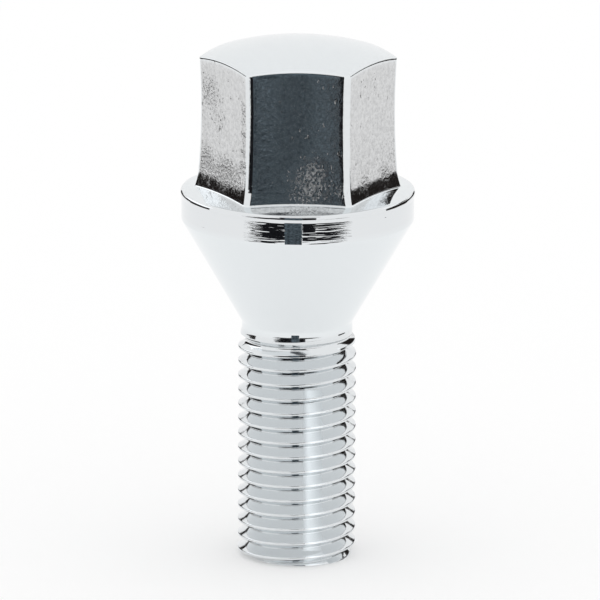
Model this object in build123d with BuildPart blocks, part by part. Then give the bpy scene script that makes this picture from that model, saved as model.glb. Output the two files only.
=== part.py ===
from build123d import *
from math import ceil, cos, radians, sqrt, tan
import os

# A lug bolt with a conical seat, headed and rolled from one blank and chrome plated.
# It stands on its thread end. The origin is the centre of that end, and +Z runs up the axis to the head.
# Lengths are in millimetres and angles in degrees.

# Thread: metric fine, right-handed, single start.
thread_diameter = 12.0
crest_allowance = 0.13  # how far the plated crests lie under the nominal diameter
thread_pitch = 1.5
flank_angle = 30.0  # of each flank, from square to the axis
crest_flat_share = 1 / 8  # flat on the crest, as a share of the pitch
groove_start = 0.61  # where the groove crosses the side towards +X, above the end
end_chamfer = 0.45
crest_runout = 1.95  # the crests taper down to the neck over this length
root_runout = 1.3  # and the roots rise to it over this one
neck_relief = 0.9  # how far the neck's diameter lies under the nominal one
neck_length = 0.55  # plain neck between the thread and the seat

# Conical seat, and the collar above it.
shank_length = 24.3  # from the thread end to the small end of the cone
seat_angle = 60.0  # included angle of the cone
seat_root_radius = 0.6
collar_overhang = 3.15  # how far the collar stands out past the flats at their waist
band_height = 2.85
band_lower_bevel = 0.25
bead_proud = 0.1  # the forging bead round the top of the band stands this proud of it
bead_height = 0.55
bead_bevel = 0.15
collar_slope = 13.0  # fall of the collar's top, from the hexagon's foot out to the rim

# Hexagon head, drawn in to a waist by the dies, with a domed crown.
hex_across_flats = 17.0  # at the waist
hex_height = 13.5  # from the collar's rim to the hexagon's top corners
waist_height = 7.8  # from the collar's rim
top_flare = 0.13  # how far each flat stands out from the waist at its top
base_flare = 0.22  # and at its base
hex_corner_bevel = 0.35  # along each of the two flats
hex_foot_bevel = 0.35  # how far the foot's bevel climbs past the collar's top
crown_radius = 28.0
crown_edge_bevel = 0.15

# Thread sizes that follow from the ones above.
crest_radius = (thread_diameter - crest_allowance) / 2
flank_height = thread_pitch * (1 - crest_flat_share) / 2 / tan(radians(flank_angle))
root_radius = crest_radius - flank_height
neck_radius = (thread_diameter - neck_relief) / 2
thread_top = shank_length - neck_length
full_thread_top = thread_top - crest_runout

# Levels and reaches above the shank.
waist_apothem = hex_across_flats / 2
collar_radius = waist_apothem + collar_overhang
band_bottom = shank_length + (collar_radius - neck_radius) / tan(radians(seat_angle / 2))
rim_level = band_bottom + band_height
rim_radius = collar_radius + bead_proud
collar_top = rim_level + (rim_radius - waist_apothem) * tan(radians(collar_slope))
corner_reach = (waist_apothem + top_flare) / cos(radians(30))
crown_centre = rim_level + hex_height - sqrt(crown_radius**2 - corner_reach**2)
crown_top = crown_centre + crown_radius

# The thread is rolled on a chamfered blank, whose taper at the top runs on into the neck.
overrun = thread_pitch / 5
taper_ratio = crest_runout / (crest_radius - neck_radius)
blank_top = full_thread_top + (crest_radius - root_radius) * taper_ratio
with BuildPart() as blank:
    with BuildSketch(Plane.XZ):
        with BuildLine():
            Polyline(
                (0, 0),
                (crest_radius - end_chamfer, 0),
                (crest_radius, end_chamfer),
                (crest_radius, full_thread_top),
                (root_radius, blank_top),
                (0, blank_top),
                close=True,
            )
        make_face()
    revolve(axis=Axis.Z)

# One turn of the groove that rolling presses between the crests: a V carried once round a helix.
helix_start = groove_start - thread_pitch
mouth_half_width = (flank_height + overrun) * tan(radians(flank_angle))
with BuildPart() as groove_turn:
    with BuildLine():
        Helix(pitch=thread_pitch, height=thread_pitch, radius=root_radius, center=(0, 0, helix_start))
    with BuildSketch(Plane.XZ):
        with BuildLine():
            Polyline(
                (root_radius, helix_start),
                (crest_radius + overrun, helix_start + mouth_half_width),
                (crest_radius + overrun, helix_start - mouth_half_width),
                close=True,
            )
        make_face()
    sweep(is_frenet=True)

# Turn upon turn of it makes the thread, from below the end to above the full crests.
turns = ceil((thread_top - helix_start) / thread_pitch)
with BuildPart() as thread:
    add(blank.part)
    with Locations([(0, 0, turn * thread_pitch) for turn in range(turns)]):
        add(groove_turn.part, mode=Mode.SUBTRACT)

# The turned form above: a cone inside the shank that lifts the last roots to the neck, then the neck,
# the seat, the band with its bead, and the sloping top of the collar.
root_ratio = root_runout / (neck_radius - root_radius)
with BuildPart() as collar:
    with BuildSketch(Plane.XZ):
        with BuildLine():
            outline = FilletPolyline(
                (0, full_thread_top - root_radius * root_ratio),
                (neck_radius, full_thread_top + root_runout),
                (neck_radius, shank_length),
                (collar_radius, band_bottom),
                (collar_radius, rim_level - bead_height),
                (rim_radius, rim_level - bead_bevel),
                (rim_radius - bead_bevel, rim_level),
                (waist_apothem, collar_top),
                (0, collar_top),
                radius=[0, seat_root_radius, 0, 0, 0, 0, 0],
            )
            Line(outline @ 1, outline @ 0)
        band_corner = make_face().vertices().sort_by_distance((collar_radius, band_bottom))[0]
        chamfer(band_corner, band_lower_bevel)
    revolve(axis=Axis.Z)

# Two opposite flats: a slab as wide as the hexagon, with each side hollowed by an arc through the waist.
with BuildPart() as flat_pair:
    with BuildSketch(Plane.YZ):
        with BuildLine():
            flat = ThreePointArc(
                (waist_apothem + base_flare, rim_level),
                (waist_apothem, rim_level + waist_height),
                (waist_apothem + top_flare, crown_top),
            )
            Polyline(flat @ 1, (0, crown_top), (0, rim_level), flat @ 0)
        make_face()
        mirror(about=Plane.YZ)
    extrude(amount=hex_across_flats, both=True)

# The hexagon is what three such slabs share. Its corners are bevelled, and the crown's sphere cuts its top.
with BuildPart() as head:
    add(flat_pair.part)
    for turn in (60, 120):
        add(flat_pair.part, rotation=(0, 0, turn), mode=Mode.INTERSECT)
    corners = head.edges().filter_by(Plane.XY, reverse=True)
    chamfer(corners, hex_corner_bevel)
    # The ball lies on its side, so that its poles stay clear of the crown.
    with Locations((0, 0, crown_centre)):
        Sphere(crown_radius, rotation=(90, 0, 0), mode=Mode.INTERSECT)
    crown = head.faces().sort_by(Axis.Z)[-1]
    chamfer(crown.edges(), crown_edge_bevel)

# The foot: a bevel at 45 degrees round the hexagon, which narrows upward until the flats swallow it.
foot_rise = collar_top - rim_level + hex_foot_bevel
with BuildPart() as foot:
    for rise in (0, foot_rise):
        with BuildSketch(Plane.XY.offset(rim_level + rise)) as outline:
            RegularPolygon(radius=waist_apothem + foot_rise - rise, side_count=6, major_radius=False)
            chamfer(outline.vertices(), hex_corner_bevel)
    loft(ruled=True)

# One piece.
with BuildPart() as lug_bolt:
    add(collar.part)
    add(foot.part)
    add(head.part)
    add(thread.part)

lug_bolt.part.label = "lug_bolt"
os.makedirs("parts", exist_ok=True)
export_step(lug_bolt.part, "parts/lug_bolt.step")
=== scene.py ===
# %% [markdown]
# # A chrome lug bolt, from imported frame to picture
#
# A lug bolt holds a road wheel on its hub. It is one piece of steel: a hexagon for the wrench, a collar,
# a cone that centres the wheel, and a thread. The steel is headed cold, rolled and then chrome plated,
# so everything that the eye gets from it is shape and reflection.
#
# The engineering model fixes its size and place. Here the whole bolt is drawn again as one closed skin,
# because a mirror shows every facet: the skin has the small roundings that a plated edge really has,
# and it carries smooth normals from the crown down to the foot of the thread.

import bpy
import numpy as np
from mathutils import Matrix, Vector


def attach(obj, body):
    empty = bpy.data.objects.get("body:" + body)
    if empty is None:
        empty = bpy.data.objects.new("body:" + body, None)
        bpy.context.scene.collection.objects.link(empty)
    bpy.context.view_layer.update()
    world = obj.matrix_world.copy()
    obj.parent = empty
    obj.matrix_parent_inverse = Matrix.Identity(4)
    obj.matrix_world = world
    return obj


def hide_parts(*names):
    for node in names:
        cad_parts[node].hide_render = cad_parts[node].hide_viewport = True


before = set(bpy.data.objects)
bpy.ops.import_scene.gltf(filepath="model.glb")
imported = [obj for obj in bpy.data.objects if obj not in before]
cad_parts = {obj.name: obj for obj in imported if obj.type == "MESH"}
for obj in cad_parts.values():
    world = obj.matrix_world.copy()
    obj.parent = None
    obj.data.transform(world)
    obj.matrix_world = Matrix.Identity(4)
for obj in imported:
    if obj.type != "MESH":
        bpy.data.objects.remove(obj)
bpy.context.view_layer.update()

# %% [markdown]
# ## The sizes
#
# Most of the numbers are the engineering model's own, in millimetres, so that the skin lies on it. A few
# follow the photograph more closely, and stay inside the model: the collar's rim is a little higher and its
# top falls less, the flats flare out more at the foot, and the hexagon's corners are round, not bevelled.
# Blender works in metres, and one factor at the very end turns millimetres into metres.

# %% Sizes of the thread, the cone and the collar, in millimetres
MM = 0.001
PITCH = 1.5
CREST_R, NECK_R = 5.935, 5.55
GROOVE_AT_X = 0.61  # height of the groove's middle towards +X, above the end
END_CHAMFER = 0.45
FULL_THREAD_TOP = 21.8  # above it the roots rise and the crests taper off
ROOTS_OUT, THREAD_TOP = 23.1, 23.75  # where the roots, and then the crests, have reached the neck
SHANK, CONE_HALF = 24.3, np.radians(30)  # height of the cone's small end, and its lean from the axis
COLLAR_R, BEAD_R = 11.65, 11.742  # the band, and the bead round its top
BAND_BOTTOM = SHANK + (COLLAR_R - NECK_R) / np.tan(CONE_HALF)
BAND_HEIGHT = 2.98
RIM = BAND_BOTTOM + BAND_HEIGHT
COLLAR_FALL = np.radians(9)
print("band from", round(BAND_BOTTOM, 3), "to", round(RIM, 3))

# %% Sizes of the hexagon and its crown
WAIST_A, TOP_OUT, BASE_OUT = 8.5, 0.13, 0.37  # apothem at the waist, and what the ends have more
WAIST_Z, HEX_TOP = 46.15, 51.2
CORNER_R, CROWN_R = 0.95, 28.0  # the rounding of the hexagon's corners, and the ball of its crown
CROWN_SUNK = 0.008  # the ball meets the sharp corners this much under HEX_TOP
CORNER_REACH = (WAIST_A + TOP_OUT) / np.cos(np.pi / 6)
CROWN_Z = HEX_TOP - CROWN_SUNK - np.sqrt(CROWN_R**2 - CORNER_REACH**2)
print("across corners if sharp", round(2 * CORNER_REACH, 3), "crown top", round(CROWN_Z + CROWN_R, 3))

# %% [markdown]
# ## The columns of the grid
#
# The skin is a grid. Its columns are directions round the axis, its rows run from the crown to the end.
# A hexagon with rounded corners changes fast in a few degrees at each corner and hardly at all between,
# so the columns crowd together at the six corners. Sharing the same columns from top to bottom keeps the
# skin one piece, with no joints that a mirror would betray.

# %% Directions round the axis
CORNER_HALF = np.pi / 6 - np.arctan((WAIST_A - CORNER_R) * np.tan(np.pi / 6) / WAIST_A)
CORNER_COLUMNS, FLAT_COLUMNS = 13, 27
corner_steps = np.linspace(-CORNER_HALF, CORNER_HALF, CORNER_COLUMNS)
flat_steps = np.linspace(CORNER_HALF, np.pi / 3 - CORNER_HALF, FLAT_COLUMNS + 2)[1:-1]
sixth = np.concatenate([corner_steps, flat_steps])
TURN = (np.arange(6)[:, None] * np.pi / 3 + sixth[None, :]).ravel()
COLUMNS = len(TURN)
MID_CORNER, MID_FLAT = CORNER_COLUMNS // 2, CORNER_COLUMNS + FLAT_COLUMNS // 2
print("columns", COLUMNS, "from", round(np.degrees(TURN[0]), 3), "to", round(np.degrees(TURN[-1]), 2))


# %% [markdown]
# ## The hexagon's outline
#
# Six flats and six rounded corners, seen from above, as a distance from the axis for each direction.
# The corners point to the left and right of the picture, so one flat faces the camera.

# %% Outline of a rounded hexagon
def hexagon(turn, apothem, corner):
    """Distance from the axis to a hexagon with rounded corners. Each direction is folded to the angle f from
    the middle of its flat. On the flat the distance is apothem / cos f. Past the end of the flat it follows a
    circle of radius corner, whose centre lies on the corner's own ray at (apothem - corner) / cos 30."""
    off = np.abs((turn + np.pi / 6) % (np.pi / 3) - np.pi / 6)
    f = np.pi / 6 - off
    flat = apothem / np.cos(f)
    centre = (apothem - corner) / np.cos(np.pi / 6)
    arc = centre * np.cos(off) + np.sqrt(np.maximum(corner**2 - (centre * np.sin(off)) ** 2, 0))
    return np.where(np.tan(f) <= (apothem - corner) * np.tan(np.pi / 6) / apothem, flat, arc)


print("across flats", round(2 * float(hexagon(np.pi / 6, WAIST_A, CORNER_R)), 3), "across corners",
      round(2 * float(hexagon(0.0, WAIST_A, CORNER_R)), 3))


# %% [markdown]
# ## The waist
#
# Seen from the side, the hexagon is not a straight prism: the heading dies draw it in a little at about
# half height, and its outline is a slow curve. Two parabolas that meet at the waist give that curve, with
# a level tangent where they meet. In the lowest 1.3 mm the metal flows out faster, into the collar, so a
# third parabola is added there. It is only a tenth of a millimetre deep, but at the foot it tips the mirror
# by nine degrees more, and that is why the foot of each side flat shows as a dark band.

# %% Half width across flats at each height
CURL_TOP, CURL_OUT, CURL_RISE = 39.8, 0.11, 1.3  # it stands out by CURL_OUT when it is CURL_RISE tall


def waisted(z):
    """The flats' distance from the axis at height z: WAIST_A plus a share of BASE_OUT below the waist, or of
    TOP_OUT above it, that grows with the square of the distance from the waist. Below CURL_TOP the curl adds
    CURL_OUT times the square of the way down, as a share of CURL_RISE."""
    below = BASE_OUT * (np.maximum(WAIST_Z - z, 0) / (WAIST_Z - RIM)) ** 2
    above = TOP_OUT * (np.maximum(z - WAIST_Z, 0) / (HEX_TOP - WAIST_Z)) ** 2
    curl = CURL_OUT * (np.maximum(CURL_TOP - z, 0) / CURL_RISE) ** 2
    return WAIST_A + below + above + curl


for z in (HEX_TOP, WAIST_Z, CURL_TOP, CURL_TOP - CURL_RISE):
    print("at height", round(z, 2), "the flats lie", round(2 * float(waisted(z)), 3), "apart")


# %% [markdown]
# ## The crown
#
# The top of the head is a slice of a large ball. Where ball and flats meet, the edge rises to the middle of
# each flat and dips to the corners, which gives a bolt head its scalloped look. The edge has a rounding
# of less than a tenth of a millimetre, enough to catch one thin line of light or dark.
#
# The ball is a plain formula. The rounding is a small circle that rolls in the corner between ball and
# flat, and it is worked out in each direction's own upright plane. Its centre depends on how far out the
# flat is at its own height, so it is found in a few rounds, each nearer than the last.

# %% Height of the crown
def ball_height(r):
    """Height of the crown's ball at distance r from the axis: its centre plus the root of R^2 - r^2."""
    return CROWN_Z + np.sqrt(CROWN_R**2 - r**2)


print("the crown's height over the axis is", round(float(ball_height(0)), 3))

# %% The centre of the edge's rounding
EDGE_R = 0.08
edge_z = np.full(COLUMNS, HEX_TOP)
for _ in range(4):
    edge_r = hexagon(TURN, waisted(edge_z), CORNER_R) - EDGE_R
    edge_z = CROWN_Z + np.sqrt((CROWN_R - EDGE_R) ** 2 - edge_r**2)
edge_lean = np.arctan2(edge_r, edge_z - CROWN_Z)
touch_r = edge_r + EDGE_R * np.sin(edge_lean)
print("edge height at a corner", round(float(edge_z[MID_CORNER]), 3), "and mid flat",
      round(float(edge_z[MID_FLAT]), 3))

# %% Rows of the crown and its edge
CROWN_ROWS, EDGE_ROWS = 12, 6
EDGE_FORGED = 0.3  # how much of the forged finish the rounded edge has
rows_r, rows_z, rows_forged = [], [], []
for share in np.linspace(0, 1, CROWN_ROWS + 1)[1:]:
    rows_r.append(touch_r * share)
    rows_z.append(ball_height(touch_r * share))
    rows_forged.append(0.0)

for share in np.linspace(0, 1, EDGE_ROWS + 1)[1:]:
    angle = edge_lean + (np.pi / 2 - edge_lean) * share
    rows_r.append(edge_r + EDGE_R * np.sin(angle))
    rows_z.append(edge_z + EDGE_R * np.cos(angle))
    rows_forged.append(EDGE_FORGED)
print("rows on the crown and its edge", len(rows_r))

# %% [markdown]
# ## The foot of the hexagon, and the collar's top
#
# The flats run down into the collar's sloping top through a hollow of a quarter of a millimetre. It is
# tangent to both, so the reflection flows round it as one bright line. The hollow is a circle again,
# carried round the hexagon's outline by growing the outline instead of moving the points.

# %% The hollow where a flat meets the collar
FOOT_R = 0.25
FOOT_Z = 38.5  # where the flats end, near enough to find how far out they are there


def collar_height(r):
    """Height of the collar's top at distance r from the axis: RIM at BEAD_R, and tan COLLAR_FALL more for
    each millimetre further in."""
    return RIM + (BEAD_R - r) * np.tan(COLLAR_FALL)


foot_out = FOOT_R * (1 - np.sin(COLLAR_FALL))
foot_outline = hexagon(TURN, waisted(FOOT_Z) + foot_out, CORNER_R + foot_out)
foot_centre_z = collar_height(foot_outline) + FOOT_R * np.cos(COLLAR_FALL)
print("a flat ends at height", round(float(foot_centre_z[MID_FLAT]), 3), "and a corner at",
      round(float(foot_centre_z[MID_CORNER]), 3))

# %% Rows of the flats, the hollow and the collar's top
FORGED_FADE = 30  # the finish is at its full strength one part in thirty down the flat
FOOT_FORGED = 0.6
FOOT_ROWS, COLLAR_ROWS = 7, 6

# Rows lie close under the edge, evenly down the flat, and close again where the foot curls out.
down_the_flat = np.concatenate([[0.012, 0.03], np.linspace(0.06, 0.87, 18), np.linspace(0.885, 1, 9)])
for share in down_the_flat:
    z = edge_z + (foot_centre_z - edge_z) * share
    rows_r.append(hexagon(TURN, waisted(z), CORNER_R))
    rows_z.append(z)
    rows_forged.append(min(1.0, share * FORGED_FADE))

last = waisted(foot_centre_z)
for share in np.linspace(0, 1, FOOT_ROWS + 1)[1:]:
    angle = (np.pi / 2 - COLLAR_FALL) * share
    grown = FOOT_R * (1 - np.cos(angle))
    rows_r.append(hexagon(TURN, last + grown, CORNER_R + grown))
    rows_z.append(foot_centre_z - FOOT_R * np.sin(angle))
    rows_forged.append(FOOT_FORGED * (1 - share))

RIM_START = BEAD_R - 0.46  # the collar's plain slope ends here and its rounded rim begins
for share in np.linspace(0, 1, COLLAR_ROWS + 1)[1:]:
    r = rows_r[-1] * (1 - share) + RIM_START * share if share < 1 else np.full(COLUMNS, RIM_START)
    rows_r.append(r)
    rows_z.append(collar_height(r))
    rows_forged.append(0.0)
print("rows down to the rim", len(rows_r))


# %% [markdown]
# ## The turned part
#
# Below the rim everything is round: the bead that forging leaves round the top of the band, the band, the
# cone and the neck. One outline with rounded corners, turned about the axis, gives them all. Each corner
# of the outline is replaced by an arc that is tangent to both of its sides.

# %% A corner-rounded outline
def rounded(points, radii, steps=6):
    """The outline through points, with each inner corner rounded to its radius. The arc starts and ends at
    radius * tan(t / 2) from the corner, where t is the turn, and its centre lies on the line that halves the
    corner. Share s of the arc is (sin((1 - s) t) * start + sin(s t) * end) / sin t, seen from the centre."""
    out = [points[:1]]
    for before, corner, after, radius in zip(points, points[1:], points[2:], radii):
        u = (before - corner) / np.linalg.norm(before - corner)
        v = (after - corner) / np.linalg.norm(after - corner)
        opening = np.arccos(np.clip(u @ v, -1, 1))
        reach = radius / np.tan(opening / 2)
        middle = corner + (u + v) / np.linalg.norm(u + v) * radius / np.sin(opening / 2)
        start, end = corner + u * reach - middle, corner + v * reach - middle
        t = np.linspace(0, 1, steps)[:, None]
        swing = np.pi - opening
        out.append(middle + (np.sin((1 - t) * swing) * start + np.sin(t * swing) * end) / np.sin(swing))
    out.append(points[-1:])
    return np.concatenate(out)


BEAD_TOP_R = BEAD_R - 0.03
BEAD_WIDEST, BEAD_FOOT = 0.38, 0.7  # below the rim
RIM_ROUND, WIDEST_ROUND, BEAD_ROUND, BAND_ROUND, CONE_ROUND = 0.32, 0.15, 0.5, 0.4, 0.6
turned = rounded(
    np.array([
        [RIM_START, collar_height(RIM_START)],
        [BEAD_TOP_R, collar_height(BEAD_TOP_R)],
        [BEAD_R, RIM - BEAD_WIDEST],
        [COLLAR_R, RIM - BEAD_FOOT],
        [COLLAR_R, BAND_BOTTOM],
        [NECK_R, SHANK],
        [NECK_R, THREAD_TOP],
    ]),
    [RIM_ROUND, WIDEST_ROUND, BEAD_ROUND, BAND_ROUND, CONE_ROUND],
)
print("turned outline points", len(turned), "from", turned[0].round(3), "to", turned[-1].round(3))


# %% Fill long runs of the outline with more rows
def refill(points, longest):
    """The outline with extra points: a run longer than longest is cut into equal steps, as few as will do."""
    run = np.linalg.norm(np.diff(points, axis=0), axis=1)
    counts = np.maximum(np.ceil(run / longest).astype(int), 1)
    starts = np.repeat(np.arange(len(run)), counts)
    share = (np.arange(len(starts)) - np.repeat(np.cumsum(counts) - counts, counts)) / counts[starts]
    mixed = points[starts] + (points[starts + 1] - points[starts]) * share[:, None]
    return np.concatenate([mixed, points[-1:]])


LONGEST_RUN = 0.7
turned = refill(turned, LONGEST_RUN)
for r, z in turned[1:-1]:
    rows_r.append(np.full(COLUMNS, r))
    rows_z.append(np.full(COLUMNS, z))
    rows_forged.append(0.0)
print("rows down to the thread", len(rows_r))


# %% [markdown]
# ## The thread
#
# A rolled thread is a V-shaped groove of 60 degrees carried round a helix, with a hollow root and a narrow
# crest. It could be swept as a separate ribbon, but then its ends would have to be hidden. Here the thread
# is one function instead: for any height and direction it gives a distance from the axis. The crests taper
# off and the roots rise towards the neck, and the same function cuts the chamfer at the end.
#
# The rows of this stretch climb with the helix, one pitch for each turn, so they follow crest and root
# and never cross them. Rows that would leave the stretch are gathered on its two end rings.

# %% The groove's own sizes
FLANK = np.radians(30)  # each flank leans this much from square to the axis
HALF_CREST = 1 / 16  # half of the crest's flat, as a share of the pitch
ROOT_ROUND = 0.035 * PITCH
APEX_R = CREST_R - (0.5 - HALF_CREST) * PITCH / np.tan(FLANK)
FLOOR_R = 4.615  # the cone that lifts the last roots starts here, a little under them
CHAMFER_BLEND, ROOT_BLEND, CREST_BLEND = 0.06, 0.06, 0.04
print("the flanks would meet at", round(APEX_R, 3), "mm from the axis")


# %% Distance from the axis on the thread
def soft_min(a, b, blend):
    """The smaller of a and b. Where they differ by less than blend it is the mix b + (a - b) h, less
    blend * h (1 - h), where h goes from 0 to 1 as b - a goes from -blend to blend."""
    h = np.clip(0.5 + 0.5 * (b - a) / blend, 0, 1)
    return b + (a - b) * h - blend * h * (1 - h)


def thread_radius(z, turns):
    """Distance from the axis at height z, in the direction given in turns. w is the distance along the axis
    from the nearest groove's middle. The root is an arc of radius ROOT_ROUND, and the flank a line that rises
    1 / tan FLANK for each unit of w. The envelope is the cylinder of the crests, with its chamfer at the end
    and its taper to the neck, and the floor is the cone on which the roots rise. The result is the larger of
    groove and floor, but never more than the envelope."""
    u = (z - GROOVE_AT_X) / PITCH - turns
    w = np.abs(u - np.round(u)) * PITCH
    flank = APEX_R + w / np.tan(FLANK)
    root = APEX_R + 2 * ROOT_ROUND - np.sqrt(np.maximum(ROOT_ROUND**2 - w**2, 0))
    groove = np.where(w > ROOT_ROUND * np.cos(FLANK), flank, root)
    runout = np.clip((z - FULL_THREAD_TOP) / (THREAD_TOP - FULL_THREAD_TOP), 0, 1)
    taper = CREST_R - (CREST_R - NECK_R) * runout
    envelope = soft_min(taper, CREST_R - END_CHAMFER + np.maximum(z, 0), CHAMFER_BLEND)
    rise = np.clip((z - FULL_THREAD_TOP) / (ROOTS_OUT - FULL_THREAD_TOP), 0, 1)
    floor = FLOOR_R + (NECK_R - FLOOR_R) * rise
    return soft_min(-soft_min(-groove, -floor, ROOT_BLEND), envelope, CREST_BLEND)


print("at the root", round(float(thread_radius(10 * PITCH + GROOVE_AT_X, 0.0)), 3), "and at the crest",
      round(float(thread_radius(10.5 * PITCH + GROOVE_AT_X, 0.0)), 3))

# %% Rows that climb with the helix
END_ROUND = 0.05
CLEAR_OF_END, CLEAR_OF_NECK = 0.004, 0.02
PITCHES_MORE = 3  # whole pitches past both ends, so that no column runs short of rows

# Heights of the rows above a groove's middle: the root's arc, the flank, and the crest's corner.
up_the_flank = np.array([0, 0.025, 0.05, 0.34, 0.615, 0.65, 0.685])
phases = np.concatenate([up_the_flank, [PITCH / 2], PITCH - up_the_flank[:0:-1]])
PER_PITCH = len(phases)
pitches = int(np.ceil(THREAD_TOP / PITCH)) + PITCHES_MORE
levels = (np.arange(pitches)[:, None] * PITCH + phases[None, :]).ravel() + GROOVE_AT_X - 2 * PITCH
helix_z = levels[:, None] + PITCH * TURN[None, :] / (2 * np.pi)
inside = (helix_z > END_ROUND + CLEAR_OF_END) & (helix_z < THREAD_TOP - CLEAR_OF_NECK)
print("rows per pitch", PER_PITCH, "helical rows", len(levels), "points on the thread", int(inside.sum()))

# %% The end of the bolt
END_ROWS = 5
end_ring = thread_radius(np.zeros(COLUMNS), TURN / (2 * np.pi))
foot_rows_r, foot_rows_z = [], []
for share in np.linspace(0, 1, END_ROWS):
    foot_rows_r.append(end_ring - END_ROUND * (1 - np.cos(share * np.pi / 2)))
    foot_rows_z.append(np.full(COLUMNS, END_ROUND * (1 - np.sin(share * np.pi / 2))))
for share in (0.97, 0.85, 0.55, 0.25):  # rings across the flat end
    foot_rows_r.append((end_ring - END_ROUND) * share)
    foot_rows_z.append(np.zeros(COLUMNS))
print("end ring from", round(float(end_ring.min()), 3), "to", round(float(end_ring.max()), 3))

# %% [markdown]
# ## Sewing the skin together
#
# Every point gets a number, and every patch between two columns and two rows becomes two triangles. On the
# helical stretch the last column meets the first one a whole pitch further up. A point that was gathered
# on an end ring takes the ring's number, and triangles that shrink to nothing are dropped. One point closes
# the crown, and one the end.

# %% Number the points and join them
ring_numbers = np.arange(len(rows_r) * COLUMNS).reshape(-1, COLUMNS)
neck_ring = np.arange(COLUMNS) + ring_numbers.size
foot_numbers = np.arange(len(foot_rows_r) * COLUMNS).reshape(-1, COLUMNS) + neck_ring[-1] + 1
thread_numbers = np.cumsum(inside.ravel()).reshape(inside.shape) + foot_numbers[-1, -1]
gathered = np.where(helix_z > THREAD_TOP / 2, neck_ring[None, :], foot_numbers[0][None, :])
thread_numbers = np.where(inside, thread_numbers, gathered)
crown_point = thread_numbers.max() + 1
end_point = crown_point + 1


def patches(upper_left, upper_right, lower_right, lower_left):
    """Two triangles for each patch, with their faces outward, as rows of three point numbers."""
    a = np.stack([upper_left, lower_left, lower_right], -1).reshape(-1, 3)
    b = np.stack([upper_left, lower_right, upper_right], -1).reshape(-1, 3)
    return np.concatenate([a, b])


above = np.concatenate([ring_numbers, neck_ring[None, :]])
right = np.roll(above, -1, axis=1)
head_faces = patches(above[:-1], right[:-1], right[1:], above[1:])

tall = np.concatenate([thread_numbers, np.broadcast_to(neck_ring, (PER_PITCH, COLUMNS))])
seam = np.roll(tall, -1, axis=1)[: len(levels)]
seam[:, -1] = tall[PER_PITCH:, 0][: len(levels)]
left = tall[: len(levels)]
thread_faces = patches(left[1:], seam[1:], seam[:-1], left[:-1])

foot_right = np.roll(foot_numbers, -1, axis=1)
foot_faces = patches(foot_numbers[:-1], foot_right[:-1], foot_right[1:], foot_numbers[1:])
crown_faces = np.stack([np.full(COLUMNS, crown_point), ring_numbers[0], np.roll(ring_numbers[0], -1)], -1)
end_faces = np.stack([np.full(COLUMNS, end_point), np.roll(foot_numbers[-1], -1), foot_numbers[-1]], -1)
faces = np.concatenate([crown_faces, head_faces, thread_faces, foot_faces, end_faces])
proper = (faces[:, 0] != faces[:, 1]) & (faces[:, 1] != faces[:, 2]) & (faces[:, 2] != faces[:, 0])
faces = faces[proper]
print("triangles", len(faces))

# %% Places of the points
turns = np.broadcast_to(TURN / (2 * np.pi), helix_z.shape)[inside]
around_thread = np.broadcast_to(TURN, helix_z.shape)[inside]
thread_z = helix_z[inside]
radius = np.concatenate([
    np.ravel(rows_r),
    np.full(COLUMNS, NECK_R),
    np.ravel(foot_rows_r),
    thread_radius(thread_z, turns),
    [0, 0],
])
height = np.concatenate([
    np.ravel(rows_z),
    np.full(COLUMNS, THREAD_TOP),
    np.ravel(foot_rows_z),
    thread_z,
    [CROWN_Z + CROWN_R, 0],
])
around = np.concatenate([np.tile(TURN, len(rows_r) + 1 + len(foot_rows_r)), around_thread, [0, 0]])
points = np.stack([radius * np.cos(around), radius * np.sin(around), height], -1) * MM
print("points", len(points), "box mm", (points.min(0) / MM).round(3), (points.max(0) / MM).round(3))

# %% Put the skin into a mesh
mesh = bpy.data.meshes.new("lug_bolt_skin")
mesh.from_pydata(points.tolist(), [], faces.tolist())
mesh.polygons.foreach_set("use_smooth", np.ones(len(faces), bool))
mesh.update()
bolt = bpy.data.objects.new("lug_bolt_skin", mesh)
bpy.context.scene.collection.objects.link(bolt)
edges = np.sort(np.concatenate([faces[:, :2], faces[:, 1:], faces[:, ::2]]), axis=1)
uses = np.unique(edges, axis=0, return_counts=True)[1]
print("edges used once", int((uses == 1).sum()), "more than twice", int((uses > 2).sum()))

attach(bolt, "root")
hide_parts("lug_bolt")

# %% [markdown]
# ## Where each finish lies
#
# The plating is the same all over, but it shows what lies under it: the forged flats are dimpled and here
# and there pitted, the band carries fine rings from the tool, and the rolled thread is duller than the cone.
# Each of these is a weight that is stored on the points, so that one finish fades into the next with no
# border. At the hexagon's round corners the forged finish falls to a quarter: the metal is smoother there.

# %% Helpers for the weights
def step_up(low, high, value):
    """0 below low, 1 above high, and between them the smooth curve 3 t^2 - 2 t^3."""
    t = np.clip((value - low) / (high - low), 0, 1)
    return t * t * (3 - 2 * t)


def store(name, values):
    """Puts one number for each point into the mesh, as an attribute that a material can read."""
    mesh.attributes.new(name, "FLOAT", "POINT").data.foreach_set("value", values.astype(np.float32))
    print(name, "has a mean of", round(float(values.mean()), 3), "and at most", round(float(values.max()), 3))


# %% Weights of the forged, the turned and the rolled finish
AT_CORNERS = 0.25
off_corner = np.abs((TURN + np.pi / 6) % (np.pi / 3) - np.pi / 6)
on_flat = AT_CORNERS + (1 - AT_CORNERS) * step_up(0.7 * CORNER_HALF, CORNER_HALF, off_corner)
forged = np.zeros(len(points))
forged[: ring_numbers.size] = (np.array(rows_forged)[:, None] * on_flat[None, :]).ravel()
store("forged", forged)
store("banded", step_up(BAND_BOTTOM - 0.1, BAND_BOTTOM + 0.35, height) * step_up(11.5, 11.6, radius))
store("rolled", 1 - step_up(THREAD_TOP - 0.3, THREAD_TOP + 0.2, height))

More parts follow.
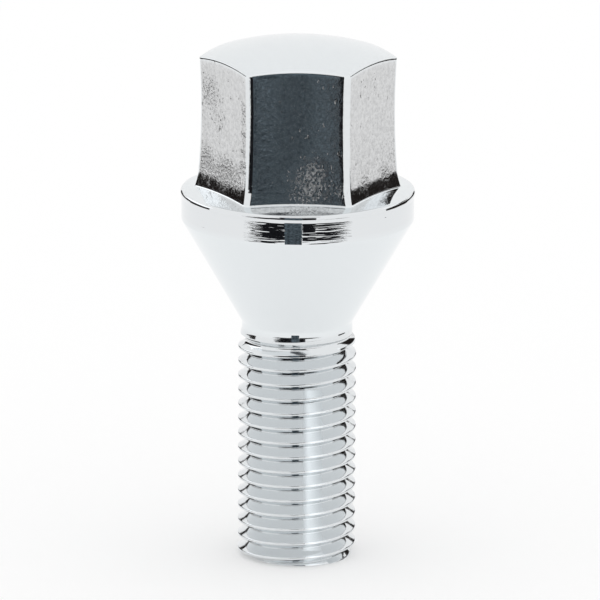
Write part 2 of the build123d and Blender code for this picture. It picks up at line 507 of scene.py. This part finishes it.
# %% Spots where scale was pressed into the flats, each with its x, y, height, reach and strength
SPOTS = np.array([
    [-8.8, -1.9, 48.0, 3.2, 0.8],
    [-7.9, -3.6, 45.5, 2.0, 0.35],
    [-7.6, -4.5, 40.0, 2.6, 0.9],
    [-9.3, -1.5, 40.5, 2.6, 0.8],
    [-6.0, -7.1, 40.2, 1.8, 0.7],
    [1.1, -8.75, 40.0, 3.2, 1.2],
    [1.6, -8.7, 42.0, 2.0, 0.9],
    [4.2, -8.8, 39.6, 1.2, 0.7],
    [6.8, -6.0, 39.6, 1.6, 0.6],
    [8.8, -2.5, 39.6, 1.6, 0.6],
    [7.4, -4.2, 49.0, 2.0, 0.2],
    [-5.3, -7.7, 47.6, 0.9, 1.2],
    [-5.3, -7.7, 46.4, 0.9, 1.4],
    [-5.3, -7.7, 44.9, 0.9, 1.4],
    [-5.3, -7.7, 43.2, 0.9, 1.2],
    [-5.3, -7.7, 41.6, 1.1, 1.4],
    [-6.9, -5.4, 40.4, 2.6, 0.6],
])
print("spots on the flats that show", len(SPOTS))

# %% Spots on the flats that the photograph doesn't show, by a seeded draw
UNSEEN_SPOTS, UNSEEN_R = 14, 9.0
draw = np.random.default_rng(7)
turn_of = draw.uniform(0.1, np.pi - 0.1, UNSEEN_SPOTS)
unseen = np.column_stack([
    UNSEEN_R * np.cos(turn_of),
    UNSEEN_R * np.sin(turn_of),
    draw.uniform(39.5, 50, UNSEEN_SPOTS),
    draw.uniform(1.2, 2.8, UNSEEN_SPOTS),
    draw.uniform(0.3, 0.8, UNSEEN_SPOTS),
])
spots = np.concatenate([SPOTS, unseen])
print("spots all round", len(spots))

# %% Weight of the pits
PITS_EVERYWHERE, PITS_AT_MOST = 0.03, 1.5
gap = np.linalg.norm(points[: ring_numbers.size, None, :] / MM - spots[None, :, :3], axis=2)
pitted_here = np.full(len(points), PITS_EVERYWHERE)
pitted_here[: ring_numbers.size] += (spots[:, 4] * step_up(0, 1, 1 - gap / spots[:, 3])).sum(axis=1)
store("pitted", np.minimum(pitted_here, PITS_AT_MOST))

# %% [markdown]
# ## Effects that the plating shares
#
# Dimples and pits are each needed more than once with different sizes, so each is a node group with named
# inputs. A group gives only a height or a mask. The shader stays in the material.

# %% Helpers for node trees
def add_node(tree, kind, settings=None, **values):
    """Adds a node. The settings are its own properties, and the values go to the inputs of those names."""
    made = tree.nodes.new(kind)
    for key, value in (settings or {}).items():
        setattr(made, key, value)
    for key, value in values.items():
        made.inputs[key.replace("_", " ")].default_value = value
    return made


def math(tree, operation, a, b=None, c=None):
    """Adds a Math node on plain numbers or sockets and gives back its output."""
    made = tree.nodes.new("ShaderNodeMath")
    made.operation = operation
    for socket, value in zip(made.inputs, (a, b, c)):
        if value is None:
            continue
        if isinstance(value, (int, float)):
            socket.default_value = value
        else:
            tree.links.new(value, socket)
    return made.outputs[0]


def group(name, inputs, outputs):
    """Starts a node group. Its inputs and outputs are pairs of name and socket kind, and it gives back the
    tree with its input and output nodes."""
    tree = bpy.data.node_groups.new(name, "ShaderNodeTree")
    for label, kind in inputs:
        tree.interface.new_socket(label, in_out="INPUT", socket_type="NodeSocket" + kind)
    for label, kind in outputs:
        tree.interface.new_socket(label, in_out="OUTPUT", socket_type="NodeSocket" + kind)
    return tree, tree.nodes.new("NodeGroupInput"), tree.nodes.new("NodeGroupOutput")


# %% Dimples: soft unevenness of one grain
dimples, given, result = group(
    "dimples", [("Vector", "Vector"), ("Grain", "Float"), ("Depth", "Float")], [("Height", "Float")]
)
fine = add_node(dimples, "ShaderNodeTexNoise", Detail=1.5, Roughness=0.55)
dimples.links.new(given.outputs["Vector"], fine.inputs["Vector"])
dimples.links.new(given.outputs["Grain"], fine.inputs["Scale"])
deep = math(dimples, "MULTIPLY", fine.outputs["Fac"], given.outputs["Depth"])
dimples.links.new(deep, result.inputs["Height"])
print("dimples has", len(dimples.nodes), "nodes")

# %% [markdown]
# A pit sits in the middle of a Voronoi cell. The place is first shifted by a noise, so that the pits are
# ragged and not round, and a pit is kept only where its cell's own random value is under the amount.

# %% Pits: small hollows, one in some of the cells
EDGE_WAVES, EDGE_SHIFT = 1.9, 1.1  # how fine and how strong the raggedness is, in cells
SOFT_FROM = 0.35  # a pit is at its full depth out to this share of its size
pits, given, result = group(
    "pits",
    [("Vector", "Vector"), ("Spacing", "Float"), ("Size", "Float"), ("Amount", "Float")],
    [("Mask", "Float")],
)
wobble = add_node(pits, "ShaderNodeTexNoise", Detail=1.0)
pits.links.new(given.outputs["Vector"], wobble.inputs["Vector"])
pits.links.new(math(pits, "MULTIPLY", given.outputs["Spacing"], EDGE_WAVES), wobble.inputs["Scale"])
centred = add_node(pits, "ShaderNodeVectorMath", {"operation": "SUBTRACT"})
centred.inputs[1].default_value = (0.5, 0.5, 0.5)
pits.links.new(wobble.outputs["Color"], centred.inputs[0])
shift = math(pits, "DIVIDE", EDGE_SHIFT, given.outputs["Spacing"])
shifted = add_node(pits, "ShaderNodeVectorMath", {"operation": "SCALE"})
pits.links.new(centred.outputs[0], shifted.inputs[0])
pits.links.new(shift, shifted.inputs["Scale"])
moved = add_node(pits, "ShaderNodeVectorMath", {"operation": "ADD"})
pits.links.new(given.outputs["Vector"], moved.inputs[0])
pits.links.new(shifted.outputs[0], moved.inputs[1])
cells = add_node(pits, "ShaderNodeTexVoronoi", Randomness=1.0)
pits.links.new(moved.outputs[0], cells.inputs["Vector"])
pits.links.new(given.outputs["Spacing"], cells.inputs["Scale"])
hollow = add_node(pits, "ShaderNodeMapRange", {"interpolation_type": "SMOOTHSTEP"}, To_Min=1.0, To_Max=0.0)
pits.links.new(cells.outputs["Distance"], hollow.inputs["Value"])
pits.links.new(math(pits, "MULTIPLY", given.outputs["Size"], SOFT_FROM), hollow.inputs["From Min"])
pits.links.new(given.outputs["Size"], hollow.inputs["From Max"])
chance = add_node(pits, "ShaderNodeSeparateColor")
pits.links.new(cells.outputs["Color"], chance.inputs["Color"])
held = math(pits, "LESS_THAN", chance.outputs[0], given.outputs["Amount"])
pits.links.new(math(pits, "MULTIPLY", hollow.outputs[0], held), result.inputs["Mask"])
print("node groups", [tree.name for tree in bpy.data.node_groups])

# %% [markdown]
# ## The chrome
#
# Chrome is a metal with a faint blue. Under it the forged flats keep the orange peel of the dies: dimples of
# under half a millimetre, a few micrometres deep, on a slower swell, with pits and nicks where scale was
# pressed in. All heights are added up in micrometres, and one Bump node turns them into tilts of the mirror.

# %% The chrome's material and helpers for it
chrome = bpy.data.materials.new("chrome_plate")
chrome.use_nodes = True
tree = chrome.node_tree
links = tree.links
shader = tree.nodes["Principled BSDF"]
shader.inputs["Metallic"].default_value = 1.0
place = add_node(tree, "ShaderNodeTexCoord").outputs["Object"]


def weight(name):
    """The stored weight of one finish, as a socket."""
    return add_node(tree, "ShaderNodeAttribute", {"attribute_name": name}).outputs["Fac"]


def stretched(scale, rotation=(0, 0, 0)):
    """The place on the bolt, turned and stretched, so that a pattern on it is drawn out."""
    mapping = add_node(tree, "ShaderNodeMapping", Scale=scale, Rotation=rotation)
    links.new(place, mapping.inputs["Vector"])
    return mapping.outputs[0]


def dimpled(vector, grain, depth):
    """Dimples with this many grains in a metre and this depth in micrometres, as a socket."""
    made = add_node(tree, "ShaderNodeGroup", {"node_tree": dimples}, Grain=grain, Depth=depth)
    links.new(vector, made.inputs["Vector"])
    return made.outputs["Height"]


def pitted(vector, spacing, size, amount):
    """A mask of pits: spacing is the number of cells in a metre, size a pit's radius in cells, and amount the
    share of cells that hold one, as a number or a socket."""
    made = add_node(tree, "ShaderNodeGroup", {"node_tree": pits}, Spacing=spacing, Size=size)
    links.new(vector, made.inputs["Vector"])
    if isinstance(amount, float):
        made.inputs["Amount"].default_value = amount
    else:
        links.new(amount, made.inputs["Amount"])
    return made.outputs["Mask"]


on_forged, on_band, on_thread = weight("forged"), weight("banded"), weight("rolled")
crowded = weight("pitted")
print("chrome nodes so far", len(tree.nodes))

# %% The patterns, with depths in micrometres
peel = dimpled(place, grain=2600.0, depth=5.0)
swell = dimpled(place, grain=520.0, depth=7.0)
scaled_over = dimpled(place, grain=3600.0, depth=30.0)
small_pits = pitted(stretched((1, 1, 0.6), (0.5, 0.45, 0)), spacing=3600.0, size=0.42, amount=crowded)
nicks = pitted(stretched((1, 1, 0.38), (0.35, 0.5, 0.2)), spacing=1000.0, size=0.2, amount=0.05)
rings = dimpled(stretched((0.55, 0.55, 8)), grain=400.0, depth=33.0)
dulled = dimpled(place, grain=3500.0, depth=2.0)
print("chrome nodes so far", len(tree.nodes))

# %% Their heights, added up where each finish lies
PIT_DEPTH, NICK_DEPTH = 9.0, 16.0
SWELL_EVERYWHERE = 0.3  # share of the swell that the whole bolt has
MICROMETRE = 1e-6
forged_height = math(tree, "ADD", peel, swell)
forged_height = math(tree, "MULTIPLY_ADD", scaled_over, crowded, forged_height)
forged_height = math(tree, "MULTIPLY_ADD", small_pits, -PIT_DEPTH, forged_height)
forged_height = math(tree, "MULTIPLY_ADD", nicks, -NICK_DEPTH, forged_height)
total = math(tree, "MULTIPLY", forged_height, on_forged)
total = math(tree, "MULTIPLY_ADD", swell, SWELL_EVERYWHERE, total)
total = math(tree, "MULTIPLY_ADD", rings, on_band, total)
total = math(tree, "MULTIPLY_ADD", dulled, on_thread, total)
bump = add_node(tree, "ShaderNodeBump", Strength=1.0, Distance=MICROMETRE)
links.new(total, bump.inputs["Height"])
links.new(bump.outputs[0], shader.inputs["Normal"])
print("chrome nodes so far", len(tree.nodes))

# %% [markdown]
# The plating is a mirror on the cone and the band, a little duller on the forged flats and the thread, and
# dullest in the hollows and in the clouds of haze that lie over the scale spots.

# %% Roughness
MIRROR = 0.04
ON_FLATS, ON_THREAD, ON_SPOTS, IN_HOLLOWS = 0.01, 0.05, 0.05, 0.1  # what each adds
HAZE, HAZE_ON_SPOTS = 0.1, 0.16
clouded = add_node(tree, "ShaderNodeMapRange", From_Min=10.0, From_Max=20.0, To_Min=0.0, To_Max=1.0)
links.new(scaled_over, clouded.inputs["Value"])
hazy = math(tree, "MULTIPLY", clouded.outputs[0], on_forged)
haze = math(tree, "MULTIPLY_ADD", crowded, HAZE_ON_SPOTS, HAZE)
hollows = math(tree, "MULTIPLY", math(tree, "MAXIMUM", small_pits, nicks), on_forged)
on_spots = math(tree, "MULTIPLY", crowded, on_forged)
rough = math(tree, "MULTIPLY_ADD", on_forged, ON_FLATS, MIRROR)
rough = math(tree, "MULTIPLY_ADD", on_thread, ON_THREAD, rough)
rough = math(tree, "MULTIPLY_ADD", on_spots, ON_SPOTS, rough)
rough = math(tree, "MULTIPLY_ADD", hazy, haze, rough)
links.new(math(tree, "MULTIPLY_ADD", hollows, IN_HOLLOWS, rough), shader.inputs["Roughness"])
print("chrome nodes so far", len(tree.nodes))


# %% Colour
def mixed(a, b, share):
    """Colour a * (1 - share) + b * share. Either may be a colour or a socket. Inputs 6 and 7 of a Mix node
    are its two colours, and output 2 is their mix."""
    made = add_node(tree, "ShaderNodeMix", {"data_type": "RGBA"})
    links.new(share, made.inputs["Factor"])
    for socket, value in ((made.inputs[6], a), (made.inputs[7], b)):
        if isinstance(value, tuple):
            socket.default_value = (*value, 1)
        else:
            links.new(value, socket)
    return made.outputs[2]


SMOOTH_TINT, BAND_TINT, THREAD_TINT = (0.805, 0.837, 0.853), (0.765, 0.785, 0.8), (0.75, 0.775, 0.79)
LOW_TINT, HIGH_TINT = (0.57, 0.575, 0.58), (0.67, 0.676, 0.68)  # of the forged flats' dimples
PAINTED_PIT_SHADE, PAINTED_PIT_SHADE_SHARE = (0.05, 0.05, 0.052), 0.4  # painted shade, mixed into the colour in the pits and nicks
toned = add_node(tree, "ShaderNodeMapRange", From_Min=1.7, From_Max=3.1, To_Min=0.0, To_Max=1.0)
links.new(peel, toned.inputs["Value"])
forged_tint = mixed(LOW_TINT, HIGH_TINT, toned.outputs[0])
tint = mixed(SMOOTH_TINT, forged_tint, on_forged)
tint = mixed(tint, BAND_TINT, on_band)
tint = mixed(tint, THREAD_TINT, on_thread)
# Painted shade: the pits and nicks on the forged flats are darkened in the colour, on top of what their bump
# does.
tint = mixed(tint, PAINTED_PIT_SHADE, math(tree, "MULTIPLY", hollows, PAINTED_PIT_SHADE_SHARE))
links.new(tint, shader.inputs["Base Color"])
mesh.materials.append(chrome)
print("chrome nodes", len(tree.nodes))

# %% [markdown]
# ## The floor
#
# A sheet of white paper under the bolt and far beyond it. For the camera and for reflections it has a little
# light of its own, so that it comes out nearly white, and the bolt's shadow still falls on it.

# %% Paper floor
FAR = 3  # metres from the bolt to each side of the sheet
FLOOR_LIGHT = 0.18
floor_mesh = bpy.data.meshes.new("floor")
floor_mesh.from_pydata([(-FAR, -FAR, 0), (FAR, -FAR, 0), (FAR, FAR, 0), (-FAR, FAR, 0)], [], [(0, 1, 2, 3)])
floor = bpy.data.objects.new("floor", floor_mesh)
bpy.context.scene.collection.objects.link(floor)
paper = bpy.data.materials.new("floor_paper")
paper.use_nodes = True
sheet = paper.node_tree.nodes["Principled BSDF"]
sheet.inputs["Base Color"].default_value = (0.82, 0.82, 0.82, 1)
sheet.inputs["Roughness"].default_value = 0.9
sheet.inputs["Specular IOR Level"].default_value = 0.0
sheet.inputs["Emission Color"].default_value = (1, 1, 1, 1)
path = add_node(paper.node_tree, "ShaderNodeLightPath")
seen = math(paper.node_tree, "MAXIMUM", path.outputs["Is Camera Ray"], path.outputs["Is Glossy Ray"])
seen = math(paper.node_tree, "MAXIMUM", seen, path.outputs["Is Transmission Ray"])
lit = math(paper.node_tree, "MULTIPLY", seen, FLOOR_LIGHT)
paper.node_tree.links.new(lit, sheet.inputs["Emission Strength"])
floor_mesh.materials.append(paper)
print("floor", 2 * FAR, "m across, nodes", len(paper.node_tree.nodes))

# %% [markdown]
# ## Cards round the bolt
#
# A mirror shows what stands round it. In a tent of white cloth a chrome bolt would have no shape, so a
# photographer puts dark cards beside the camera and behind the work, and a few lit cloths where a face would
# come out grey. Each card here is a strip of a cylinder round the bolt. Only reflections see the cards: they
# throw no shadow, and the camera looks through them. Two cards have a torn end, because the fine rings on
# the band draw every border that they reflect out into streaks.

# %% Curved cards
COLUMN_STEP, TEAR_STEP = 4, 0.45  # degrees in a column, millimetres in a torn row


def card(name, away, directions, heights, colour, ragged=0.0, mottle=0.0, glow=0.0):
    """A strip of a cylinder of radius away round the axis: the point at angle a is at away * sin a to the
    right and away * cos a to the front. The two directions are angles in degrees from the front towards the
    right, and the two heights are in millimetres. The end that is further from the front is torn: in each row
    it is moved by a drawn share of ragged degrees. The colour varies by the share mottle. A card with a glow
    gives off that much light, like a lit cloth."""
    columns = max(2, int(abs(directions[1] - directions[0]) / COLUMN_STEP) + 2)
    rows = 2 if ragged == 0 else int((heights[1] - heights[0]) / TEAR_STEP)
    torn = np.random.default_rng(len(name)).uniform(-1, 1, rows) * ragged
    outer = int(abs(directions[1]) > abs(directions[0]))
    ends = np.broadcast_to(np.array(directions, float), (rows, 2)).copy()
    ends[:, outer] += torn
    t = np.linspace(0, 1, columns)[None, :]
    angle = np.radians(ends[:, :1] * (1 - t) + ends[:, 1:] * t)
    level = np.broadcast_to(np.linspace(*heights, rows)[:, None], angle.shape)
    corners = np.stack([away * np.sin(angle), -away * np.cos(angle), level], -1).reshape(-1, 3) * MM
    number = np.arange(rows * columns).reshape(rows, columns)
    quads = np.stack([number[:-1, :-1], number[:-1, 1:], number[1:, 1:], number[1:, :-1]], -1).reshape(-1, 4)
    data = bpy.data.meshes.new(name)
    data.from_pydata(corners.tolist(), [], quads.tolist())
    obj = bpy.data.objects.new(name, data)
    bpy.context.scene.collection.objects.link(obj)
    material = bpy.data.materials.new(name + "_paper")
    material.use_nodes = True
    body = material.node_tree.nodes["Principled BSDF"]
    body.inputs["Base Color"].default_value = (*colour, 1)
    body.inputs["Roughness"].default_value = 1.0
    body.inputs["Specular IOR Level"].default_value = 0.0
    body.inputs["Emission Color"].default_value = (1, 1, 1, 1)
    body.inputs["Emission Strength"].default_value = glow
    if mottle:
        cloud = add_node(material.node_tree, "ShaderNodeTexNoise", Scale=400.0, Detail=3.0)
        where = add_node(material.node_tree, "ShaderNodeTexCoord").outputs["Object"]
        material.node_tree.links.new(where, cloud.inputs["Vector"])
        shade = add_node(material.node_tree, "ShaderNodeMapRange", From_Min=0.3, From_Max=0.7,
                         To_Min=1 - mottle, To_Max=1 + mottle)
        material.node_tree.links.new(cloud.outputs["Fac"], shade.inputs["Value"])
        scaled = add_node(material.node_tree, "ShaderNodeVectorMath", {"operation": "SCALE"})
        scaled.inputs[0].default_value = colour
        material.node_tree.links.new(shade.outputs[0], scaled.inputs["Scale"])
        material.node_tree.links.new(scaled.outputs[0], body.inputs["Base Color"])
    data.materials.append(material)
    obj.visible_camera = False
    obj.visible_diffuse = False
    obj.visible_shadow = False


# %% Colours and distances of the cards
SLATE, BLACK, BROWN = (0.094, 0.119, 0.138), (0.012, 0.012, 0.014), (0.022, 0.019, 0.018)
DEEP_SLATE = tuple(0.72 * part for part in SLATE)
GREY, DARK_GREY = (0.22, 0.24, 0.26), (0.08, 0.085, 0.09)
WHITE, COOL_WHITE = (0.9, 0.9, 0.9), (0.9, 0.93, 0.96)
NEAR, ASIDE, ABOVE, BEHIND = 63, 150, 200, 300
print("the cards stand", NEAR, "to", BEHIND, "mm from the axis")

# %% In front of the bolt: what the front flat, the band and the neck show
card("front_slate_low", NEAR, (-11.5, 4.0), (8, 26), DEEP_SLATE, mottle=0.9)
card("front_slate", NEAR, (-11.5, 4.0), (26, 62), SLATE, mottle=0.9)
card("front_left", NEAR, (-42, -11.5), (18, 40), BLACK, ragged=12)
card("front_left_edge", NEAR, (-16, -11.5), (40, 62), BLACK)
card("front_right_low", NEAR, (4.4, 40), (18, 26.5), BLACK, ragged=12)
card("front_gap", NEAR, (4.0, 4.4), (26.5, 62), GREY)
card("front_right", NEAR, (4.4, 16), (26.5, 62), BLACK)
print("papers, with the floor's", sum(m.name.endswith("_paper") for m in bpy.data.materials))

# %% Beside, above and behind it: dark for the flats' feet and the rim, lit for the collar and the crown
card("left_wall", ASIDE, (-158, -92), (17, 62), BROWN)
card("right_wall", ASIDE, (92, 158), (17, 62), BROWN)
card("left_wall_high", ASIDE, (-136, -104), (62, 72), BROWN)
card("right_wall_high", ASIDE, (104, 136), (62, 72), BROWN)
card("right_wall_top", ASIDE, (120, 141), (84, 113), BROWN)
card("above_front", ABOVE, (-25, 25), (215, 262), DARK_GREY)
card("left_glow", ASIDE, (-142, -96), (78, 125), COOL_WHITE, glow=0.65)
card("right_glow", ASIDE, (96, 141), (114, 135), COOL_WHITE, glow=0.4)
card("back_sheet", BEHIND, (156, 204), (1, 420), WHITE, glow=0.13)
print("papers, with the floor's", sum(m.name.endswith("_paper") for m in bpy.data.materials))

# %% [markdown]
# Close to the thread stands a narrow lit cloth, a little to the right. It is brightest near its left end and
# fades to the right, so it is made of thin upright strips with a little less light in each. It gives the
# thread the soft bright column that runs down its turns.

# %% A soft light close to the thread
LIGHT_START, LIGHT_STEP, LIGHT_STEPS, LIGHT_PEAK = 10.5, 1.5, 22, 6  # two in degrees, then two in strips
LIGHT_AWAY, LIGHT_HEIGHTS = 8, (0.3, 17.2)
LEAST_LIGHT, MORE_LIGHT = 0.47, 0.45
for step in range(LIGHT_STEPS):
    if step < LIGHT_PEAK:
        strength = step_up(-1, LIGHT_PEAK, step)
    else:
        strength = 1 - step_up(LIGHT_PEAK - 2, LIGHT_STEPS, step)
    start = LIGHT_START + LIGHT_STEP * step
    card(f"thread_light_{step}", LIGHT_AWAY, (start, start + LIGHT_STEP), LIGHT_HEIGHTS, WHITE,
         glow=LEAST_LIGHT + MORE_LIGHT * float(strength))
print("the light stands from", LIGHT_START, "to", LIGHT_START + LIGHT_STEP * LIGHT_STEPS, "degrees")

# %% [markdown]
# ## Light, camera and colour
#
# The light is an even white sky at a plain level. The camera stands where the photographer's did: a long
# lens, a little above the bolt, looking down by nearly fifteen degrees.

# %% World
world = bpy.data.worlds.new("studio")
bpy.context.scene.world = world
world.use_nodes = True
world.node_tree.nodes["Background"].inputs["Color"].default_value = (1, 1, 1, 1)
world.node_tree.nodes["Background"].inputs["Strength"].default_value = 1.0
print("world", world.name)

# %% Camera
ELEVATION, DISTANCE, ROLL = np.radians(14.6), 800 * MM, np.radians(0.24)
SENSOR, LENS = 36, 478.6
aim = Vector((0.27, 0, 26.3)) * MM
back = Vector((0, -np.cos(ELEVATION), np.sin(ELEVATION)))
camera_data = bpy.data.cameras.new("camera")
camera_data.sensor_width = SENSOR
camera_data.lens = LENS
camera_data.clip_start, camera_data.clip_end = 0.01, 50
camera = bpy.data.objects.new("camera", camera_data)
bpy.context.scene.collection.objects.link(camera)
bpy.context.scene.camera = camera
camera.location = aim + back * DISTANCE
level = (-back).to_track_quat("-Z", "Y").to_matrix().to_4x4()
camera.rotation_mode = "QUATERNION"
camera.rotation_quaternion = (level @ Matrix.Rotation(ROLL, 4, "Z")).to_quaternion()
print("camera at, mm", [round(v / MM, 1) for v in camera.location])

# %% Colour handling
bpy.context.scene.view_settings.view_transform = "Standard"
